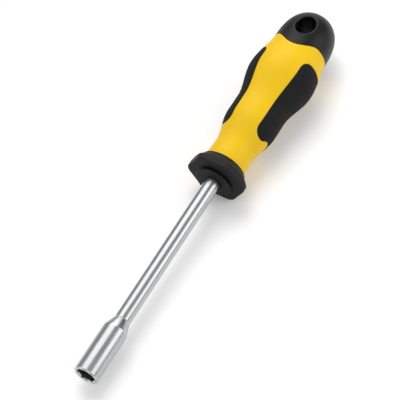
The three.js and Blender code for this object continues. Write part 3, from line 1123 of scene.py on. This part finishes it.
# %% World
ROOM_LIGHT = 0.56
world = bpy.data.worlds.new("studio")
scene.world = world
world.use_nodes = True
air = NodeSheet(world.node_tree)
brightness = ROOM_LIGHT + (1 - ROOM_LIGHT) * looked_at(air)
studio = air.node("ShaderNodeBackground", {}, {"Color": brightness, "Strength": 1.0})
air.node("ShaderNodeOutputWorld", {}, {"Surface": studio})
print("room light", ROOM_LIGHT)

# %% [markdown]
# Steel shows what stands round it, so the room matters as much as the lamps. A ball of grey cloth hangs
# round the table, and only shiny surfaces see it: it makes the dark bands on the blade. Behind the handle
# it is light on the left and dark on the right, which splits the cone of the head in two. In front of the
# socket it hangs in folds, and those give the steel its bands when it is seen from above or from the
# handle's end. All places on the ball are shares of its radius.

# %% Grey room
ROOM_RADIUS = 2.6
ROOM_GREY = 0.42
WALL_LEFT = 0.95
WALL_RIGHT = 0.15
WALL_SPLIT = (-0.10, 0.02)
WALL_START = (0.72, 0.80)
WALL_FOOT = (0.0, 0.1)
FOLDS = 4
FOLD_LIGHT = 1.5
FOLD_DARK = 0.2
FOLD_SLOPE = (-0.5, 0.7)
FOLDS_END = (-0.05, 0.15)


def grey_cloth():
    """Cloth that glows, at a level that depends on where it hangs."""
    material, sheet = new_finish("grey_cloth")
    place = sheet.node("ShaderNodeTexCoord", output="Object")
    share = stretched(sheet, place, [1 / ROOM_RADIUS] * 3)

    def measured(direction):
        settings = {"operation": "DOT_PRODUCT"}
        return sheet.node("ShaderNodeVectorMath", settings, {0: share, 1: direction}, "Value")

    lengthwise = measured(along)
    rightwards = measured(across)
    height = sheet.node("ShaderNodeSeparateXYZ", {}, {0: share})["Z"]
    behind = span(sheet, lengthwise, *WALL_START) * span(sheet, height, *WALL_FOOT)
    wall = span(sheet, rightwards, *WALL_SPLIT, WALL_LEFT, WALL_RIGHT)
    in_front = 1 - span(sheet, lengthwise, *FOLDS_END)
    turn = sheet.math("ARCTAN2", rightwards, measured(towards))
    fold = span(sheet, sheet.math("COSINE", turn * FOLDS), *FOLD_SLOPE, FOLD_DARK, FOLD_LIGHT)
    level = ROOM_GREY + behind * (wall - ROOM_GREY) + in_front * (fold - ROOM_GREY)
    glow = sheet.node("ShaderNodeEmission", {}, {"Color": level, "Strength": 1.0})
    sheet.node("ShaderNodeOutputMaterial", {}, {"Surface": glow})
    return material


room_mesh = bpy.data.meshes.new("grey_room")
ball = bmesh.new()
bmesh.ops.create_uvsphere(ball, u_segments=64, v_segments=32, radius=ROOM_RADIUS)
ball.to_mesh(room_mesh)
ball.free()
room_mesh.materials.append(grey_cloth())
room = bpy.data.objects.new("grey_room", room_mesh)
scene.collection.objects.link(room)
room.visible_camera = False
room.visible_diffuse = False
room.visible_transmission = False
room.visible_shadow = False
room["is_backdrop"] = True
print(f"grey room of {len(room_mesh.polygons)} faces, {2 * ROOM_RADIUS:.1f} m across")

# %% [markdown]
# Two softboxes hang above the blade, one to the left and one to the right of the camera's line, with a
# gap between them. They make the two bright bands along the bar. A smaller lamp on the left gives the
# shadow its shape, and it is hidden from shiny surfaces, so that it adds no third band.


# %% Softboxes
def softbox(name, turn, distance, size, level, shift):
    """A lamp along the blade, at an angle round its axis from the camera's side."""
    turn = radians(turn)
    out = cos(axis_lean) * (cos(turn) * towards + sin(turn) * across) + sin(axis_lean) * along
    data = bpy.data.lights.new(name, "AREA")
    data.shape = "RECTANGLE"
    data.size, data.size_y = size
    data.energy = level * pi * size[0] * size[1]
    lamp = bpy.data.objects.new(name, data)
    lengthwise = (along - along.dot(out) * out).normalized()
    facing = Matrix((lengthwise, out.cross(lengthwise), out)).transposed().to_4x4()
    middle = tool_place + AIM_X * along + distance * out + shift * along
    lamp.matrix_world = Matrix.Translation(middle) @ facing
    scene.collection.objects.link(lamp)
    print(f"{name} at {[round(c, 2) for c in middle]}, {data.energy:.1f} W")
    return lamp


softbox("left_box", turn=-49, distance=1.2, size=(1.5, 1.15), level=1.75, shift=0.25)
softbox("right_box", turn=39, distance=1.2, size=(0.9, 0.75), level=1.8, shift=0.0)
shadow_lamp = softbox("shadow_lamp", turn=-45, distance=1.3, size=(0.5, 0.5), level=3.0, shift=-0.1)
shadow_lamp.visible_glossy = False

# %% [markdown]
# The dressed tool is made as large as the imported one and no larger, and both boxes are printed at the
# end.

# %% Measure and finish
bpy.context.view_layer.update()


for kind, (low, high) in (("packed", cad_box), ("dressed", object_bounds())):
    print(f"{kind} tool:", " x ".join(f"{(b - a) / MM:.2f}" for a, b in zip(low, high)), "mm")
